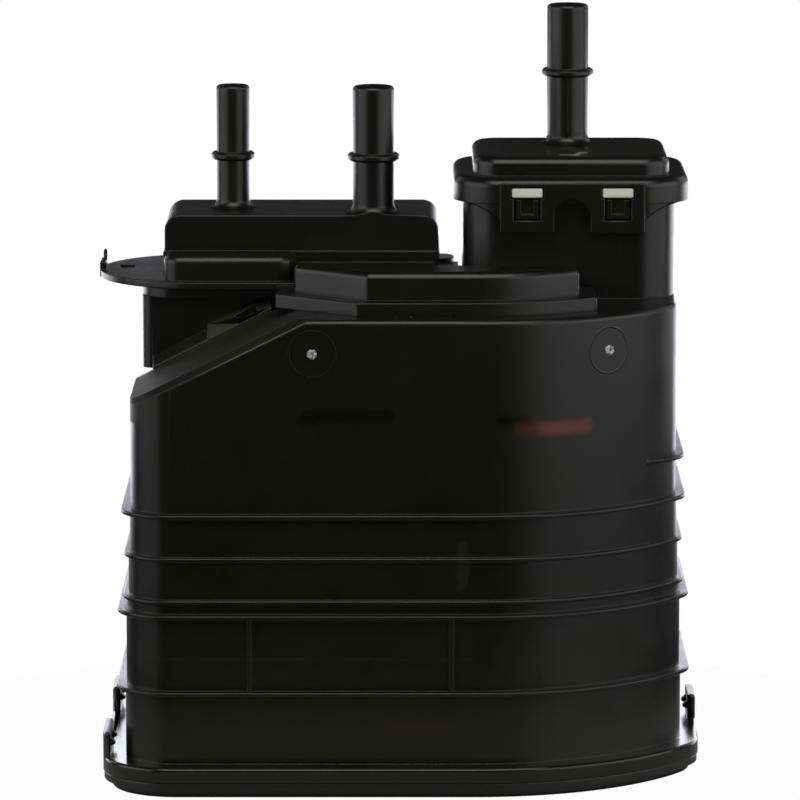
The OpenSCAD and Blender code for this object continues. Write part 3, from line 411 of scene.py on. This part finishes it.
shape = bmesh.new()
for spot, surface in enumerate([flat_front, bowed_front]):
    for profile, steps, kind in [
        ([(6.0, -0.1), (6.3, 0.04), (6.5, 0.06), (6.7, 0.04), (7.0, -0.1)], 72, 0),
        ([(1.45, -0.1), (1.3, 0.35), (1.0, 0.75), (0.75, 0.75), (0.45, 0.1), (0.0, 0.05)], 24, 1),
    ]:
        rows = []
        for r, out in profile:
            row = []
            for i in range(steps):
                a = 2 * math.pi * i / steps
                across, up = math.cos(a), math.sin(a)
                rough = noise.noise(Vector((3 * r * across, 3 * r * up, 7.0 * spot))) if kind else 0.0
                far = r * (1 + 0.25 * rough)
                row.append(shape.verts.new(surface(far * across, far * up, out * (1 + 0.8 * rough))))
            rows.append(row)
        for inner, outer in zip(rows, rows[1:]):
            for i in range(steps):
                j = (i + 1) % steps
                face = shape.faces.new((inner[i], inner[j], outer[j], outer[i]))
                face.material_index = kind
                face.smooth = True
bmesh.ops.remove_doubles(shape, verts=shape.verts, dist=0.001 * MM)
bmesh.ops.recalc_face_normals(shape, faces=shape.faces)
mesh = bpy.data.meshes.new("gate_scars")
shape.to_mesh(mesh)
shape.free()
scars = bpy.data.objects.new("gate_scars", mesh)
bpy.context.scene.collection.objects.link(scars)
mesh.materials.append(black_polyamide("black polyamide, moulded satin, gate ring")[0])
# Chalky white with dark cracks, the palest spots on the front
material, tree, place = new_material("polyamide, broken and stress-whitened")
crack = add(tree, "ShaderNodeTexNoise", {"Vector": place, "Scale": 1 / (0.7 * MM), "Detail": 6})
pale = add(tree, "ShaderNodeMapRange", {"Value": crack.outputs[0], "From Min": 0.36, "From Max": 0.56})
tone = add(tree, "ShaderNodeMix", {"Factor": pale.outputs[0], "A": linear("#3a3936"), "B": linear("#cfcdc6")},
           data_type="RGBA").outputs["Result"]
torn = add(tree, "ShaderNodeBsdfPrincipled", {"Base Color": tone, "Roughness": 0.6})
add(tree, "ShaderNodeOutputMaterial", {"Surface": torn.outputs[0]})
mesh.materials.append(material)
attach(scars, "root")

# Top cover
# The ported lid, moulded in the same black and welded to the roof: a front dome, the port block,
# a plate with its round ear at the left, and two hose spigots.
RIM_REACH, SPIGOT_FOOT = 139, 157


def cover_edges(p):
    # The weld face and the spigots keep their own edges, and the rim's right end is blunt
    if p.z < ROOF + 0.1 or p.z > SPIGOT_FOOT:
        return 0.0
    if p.z < RIM_REACH:
        return 1.4 if p.x > 55 else 0.3
    return 0.5


cover = moulded_copy("top_cover", "cover_moulding", cover_edges)
cover.data.materials.append(black_polyamide("black polyamide, moulded satin, cover")[0])
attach(cover, "root")
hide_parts("top_cover")

# Weld flash
# Crumbs of plastic that the hot plate squeezed out along the cover seam, the tower and the flange.
SEAM_START, SEAM_FRONT = -11.5, -42.98
SEAM_BOW_X, SEAM_BOW_Y, SEAM_BOW_R = 18.5, 17, 60

tree, given = new_tree("weld flash", ["Spacing", "Smallest", "Largest", "Patchiness"])
seam = add(tree, "GeometryNodeMeshToCurve", {"Mesh": given["Geometry"]})
dots = add(tree, "GeometryNodeCurveToPoints", {"Curve": seam.outputs[0], "Length": given["Spacing"]},
           mode="LENGTH")
where = add(tree, "GeometryNodeInputPosition")
uneven = add(tree, "ShaderNodeTexNoise", {"Vector": where.outputs[0], "Scale": 1 / (9 * MM), "Detail": 3})
bare = add(tree, "FunctionNodeCompare", {"A": uneven.outputs[0], "B": given["Patchiness"]},
           data_type="FLOAT", operation="LESS_THAN")
left = add(tree, "GeometryNodeDeleteGeometry",
           {"Geometry": dots.outputs[0], "Selection": bare.outputs[0]}, domain="POINT")
crumb = add(tree, "GeometryNodeMeshIcoSphere", {"Radius": 1.0, "Subdivisions": 1})
big = add(tree, "FunctionNodeRandomValue", {"Min": given["Smallest"], "Max": given["Largest"], "Seed": 4},
          data_type="FLOAT")
spin = add(tree, "FunctionNodeRandomValue", {"Min": (0, 0, 0), "Max": (6.28, 6.28, 6.28), "Seed": 5},
           data_type="FLOAT_VECTOR")
strewn = add(tree, "GeometryNodeInstanceOnPoints",
             {"Points": left.outputs[0], "Instance": crumb.outputs[0],
              "Rotation": spin.outputs[0], "Scale": big.outputs["Value"]})
real = add(tree, "GeometryNodeRealizeInstances", {"Geometry": strewn.outputs[0]})
dressed = add(tree, "GeometryNodeSetMaterial", {"Geometry": real.outputs[0], "Material": given["Finish"]})
add(tree, "NodeGroupOutput", {0: dressed.outputs[0]})
# Along the front of the dome and round its bow, then at the tower's foot and along the flange
path = [(SEAM_START + i, SEAM_FRONT, ROOF) for i in range(31)]
for along in range(1, 40):
    a = along / SEAM_BOW_R
    path.append((SEAM_BOW_X + SEAM_BOW_R * math.sin(a), SEAM_BOW_Y - SEAM_BOW_R * math.cos(a), ROOF))
lines = [(i, i + 1) for i in range(len(path) - 1)]
at_tower = [(-66 + 2 * i, -0.05, ROOF) for i in range(20)]
at_flange = [(-68 + 3 * i, -52.02, FLANGE_TOP) for i in range(30)]
for run in (at_tower, at_flange):
    lines += [(len(path) + i, len(path) + i + 1) for i in range(len(run) - 1)]
    path += run
flash = made_by(tree, "weld_flash", path, lines, {
    "Spacing": 2.1 * MM, "Smallest": 0.12 * MM, "Largest": 0.42 * MM, "Patchiness": 0.5,
    "Finish": black_polyamide("black polyamide, weld flash")[0]})
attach(flash, "root")

# Vent filter
# A block of open grey foam in the turret, pushed in by hand, that cleans the fresh air.
# Grey struts, with painted shade darkening the open cells between them
material, tree, place = new_material("polyurethane foam, open cell")
cell = add(tree, "ShaderNodeTexVoronoi", {"Vector": place, "Scale": 1 / (1.2 * MM)},
           feature="DISTANCE_TO_EDGE")
# Darker toward each cell's middle: painted shade in the pores
tone = add(tree, "ShaderNodeMix", {"Factor": cell.outputs[0], "A": linear("#6b6d70"), "B": linear("#2c2d2f")},
           data_type="RGBA").outputs["Result"]
open_cell = add(tree, "ShaderNodeBump", {"Height": cell.outputs[0], "Strength": 0.8, "Distance": 0.5 * MM},
                invert=True)
foam = add(tree, "ShaderNodeBsdfPrincipled", {"Base Color": tone, "Roughness": 0.95,
                                              "Normal": open_cell.outputs[0]})
add(tree, "ShaderNodeOutputMaterial", {"Surface": foam.outputs[0]})
dress("vent_filter", material)

# Filter frame
# A natural off-white moulding that holds the foam down; its two tabs show in the latch windows.


def frame_edges(p):
    return 0.45


white_frame = moulded_copy("filter_frame", "filter_frame_moulding", frame_edges)
# Milky off-white with a soft sheen, bright against the black
material, tree, place = new_material("natural acetal, moulded")
cloud = add(tree, "ShaderNodeTexNoise", {"Vector": place, "Scale": 1 / (6 * MM), "Detail": 4})
tone = add(tree, "ShaderNodeMix",
           {"Factor": cloud.outputs[0], "A": linear("#dcd9ce"), "B": linear("#f0eee5")},
           data_type="RGBA").outputs["Result"]
soft = add(tree, "ShaderNodeBevel", {"Radius": 0.4 * MM}, samples=4)
acetal = add(tree, "ShaderNodeBsdfPrincipled", {"Base Color": tone, "Roughness": 0.42, "IOR": 1.48,
                                                "Normal": soft.outputs[0]})
add(tree, "ShaderNodeOutputMaterial", {"Surface": acetal.outputs[0]})
white_frame.data.materials.append(material)
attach(white_frame, "root")
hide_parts("filter_frame")

# Cap seal
# A flat ring of black rubber, cut from sheet, squeezed between the frame and the cap.
# A duller, greyer black than the plastic beside it
material, tree, place = new_material("nitrile rubber, cut from sheet")
bloom = add(tree, "ShaderNodeTexNoise", {"Vector": place, "Scale": 1 / (5 * MM), "Detail": 5})
tone = add(tree, "ShaderNodeMix",
           {"Factor": bloom.outputs[0], "A": linear("#111111"), "B": linear("#242423")},
           data_type="RGBA").outputs["Result"]
rubber = add(tree, "ShaderNodeBsdfPrincipled", {"Base Color": tone, "Roughness": 0.8})
add(tree, "ShaderNodeOutputMaterial", {"Surface": rubber.outputs[0]})
dress("vent_cap_seal", material)

# Vent cap
# The cap over the turret, moulded in the same black and held by two latches: a flange, a low dome,
# the latch apron and the fresh-air spigot. Its top was scuffed in handling.


def cap_edges(p):
    return 0.35 if p.z < 161 else 0.0


cap = moulded_copy("vent_cap", "cap_moulding", cap_edges)
material, tree, place, colour, shader = black_polyamide("black polyamide, moulded satin, cap")
# A scuff on top, and a painted highlight along the mould line up the spigot, in the same order as the
# housing's marks
for low, high, soft, ragged, amount, code in [
    ((45.6, 1.4, 171), (50.6, 4.2, 177), 1.0, 0.9, 0.6, "#c9c9c2"),
    ((49.2, 0.2, 171), (51.6, 4.6, 177), 1.0, 0.9, 0.6, "#c9c9c2"),
    ((50.2, 2.8, 171), (52.4, 8.0, 177), 0.9, 0.9, 0.5, "#c9c9c2"),
    ((51.2, 6.4, 171), (54.4, 10.0, 177), 1.0, 0.9, 0.5, "#c9c9c2"),
    # A paler line along the spigot's mould seam: a painted highlight
    ((48.5, 20, 177), (49.3, 30, 193), 0.5, 0.1, 0.2, "#5a5a55"),
]:
    colour = paint(tree, colour, patch(tree, place, low, high, soft, ragged), amount, code)
tree.links.new(colour, shader.inputs["Base Color"])
cap.data.materials.append(material)
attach(cap, "root")
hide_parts("vent_cap")

# Floor, light and camera
# A white table that ends a little in front of the canister, a low white card and a strip of pale
# wall behind it, soft boxes at both sides and above, and a dark room beyond, seen from the front
# and a little above.
floor_mesh = bpy.data.meshes.new("floor")
shape = bmesh.new()
bmesh.ops.create_circle(shape, cap_ends=True, radius=0.165, segments=96)
shape.to_mesh(floor_mesh)
shape.free()
floor = bpy.data.objects.new("floor", floor_mesh)
bpy.context.scene.collection.objects.link(floor)
# Almost pure white to the camera, pale grey to the canister's faces
material, tree, place = new_material("white paper")
fibre = add(tree, "ShaderNodeTexNoise", {"Vector": place, "Scale": 1 / (2 * MM), "Detail": 4})
tone = add(tree, "ShaderNodeMix",
           {"Factor": fibre.outputs[0], "A": linear("#b4b4b4"), "B": linear("#bcbcbc")},
           data_type="RGBA").outputs["Result"]
matt = add(tree, "ShaderNodeBsdfDiffuse", {"Color": tone})
bright = add(tree, "ShaderNodeEmission", {"Color": (1, 1, 1, 1), "Strength": 1.0})
rays = add(tree, "ShaderNodeLightPath")
share = add(tree, "ShaderNodeMath", {0: rays.outputs["Is Camera Ray"], 1: 0.97}, operation="MULTIPLY")
mixed = add(tree, "ShaderNodeMixShader", {0: share.outputs[0], 1: matt.outputs[0], 2: bright.outputs[0]})
add(tree, "ShaderNodeOutputMaterial", {"Surface": mixed.outputs[0]})
floor_mesh.materials.append(material)

world = bpy.data.worlds.new("studio")
bpy.context.scene.world = world
world.use_nodes = True
tree = world.node_tree
tree.nodes.clear()
rays = add(tree, "ShaderNodeLightPath")
seen = add(tree, "ShaderNodeMath",
           {0: rays.outputs["Is Camera Ray"], 1: rays.outputs["Is Transmission Ray"]}, operation="MAXIMUM")
level = add(tree, "ShaderNodeMapRange", {"Value": seen.outputs[0], "To Min": 0.03, "To Max": 1.0})
light = add(tree, "ShaderNodeBackground", {"Color": (1, 1, 1, 1), "Strength": level.outputs[0]})
add(tree, "ShaderNodeOutputWorld", {"Surface": light.outputs[0]})

# Each light's place, aim and size in metres, its radiance and its tint
for name, spot, aim, size, radiance, tint in [
    ("soft box right", (1.28, -0.58, 0.45), (0, 0, 0.1), (2.2, 1.1), 1.35, "#ffffff"),
    ("soft box left", (-1.32, -0.48, 0.45), (0, 0, 0.1), (1.7, 1.1), 1.35, "#ffffff"),
    ("soft box above", (0, -0.95, 1.45), (0, 0, 0.1), (1.5, 1.2), 2.6, "#fffcf4"),
    ("soft box behind right", (1.15, 1.15, 0.6), (0, 0, 0.1), (1.0, 0.9), 0.7, "#ffffff"),
    ("soft box behind left", (-1.15, 1.15, 0.6), (0, 0, 0.1), (1.0, 0.9), 0.6, "#ffffff"),
    ("white card behind", (0, 0.35, 0.0765), (0, 0, 0.0765), (1.2, 0.153), 3.2, "#f4f4ff"),
    ("pale wall behind the ports", (-0.045, 0.36, 0.176), (-0.045, 0, 0.176), (0.16, 0.03), 0.2, "#f4f4ff"),
    ("table in front", (0, -1.25, 0.0), (0, -1.25, 1.0), (1.4, 0.9), 0.14, "#fffcf4"),
]:
    lamp = bpy.data.lights.new(name, "AREA")
    lamp.shape = "RECTANGLE"
    lamp.color = linear(tint)[:3]
    lamp.size, lamp.size_y = size
    lamp.energy = radiance * math.pi * size[0] * size[1]
    holder = bpy.data.objects.new(name, lamp)
    holder.location = spot
    holder.rotation_euler = (Vector(aim) - Vector(spot)).to_track_quat("-Z", "Y").to_euler()
    bpy.context.scene.collection.objects.link(holder)

# The camera as solved from the flange, the ribs and the spigots in the photo
camera = bpy.data.objects.new("camera", bpy.data.cameras.new("camera"))
SENSOR, FOCAL_PX, PICTURE_PX = 36, 6125, 800
LOOK_DOWN = math.radians(8.8)
camera.location = (0.0005, -1.7294, 0.37169)
camera.rotation_euler = (math.pi / 2 - LOOK_DOWN, 0, 0)
camera.data.lens = SENSOR * FOCAL_PX / PICTURE_PX
camera.data.sensor_width = SENSOR
bpy.context.scene.collection.objects.link(camera)
bpy.context.scene.camera = camera
bpy.context.scene.view_settings.view_transform = "Standard"
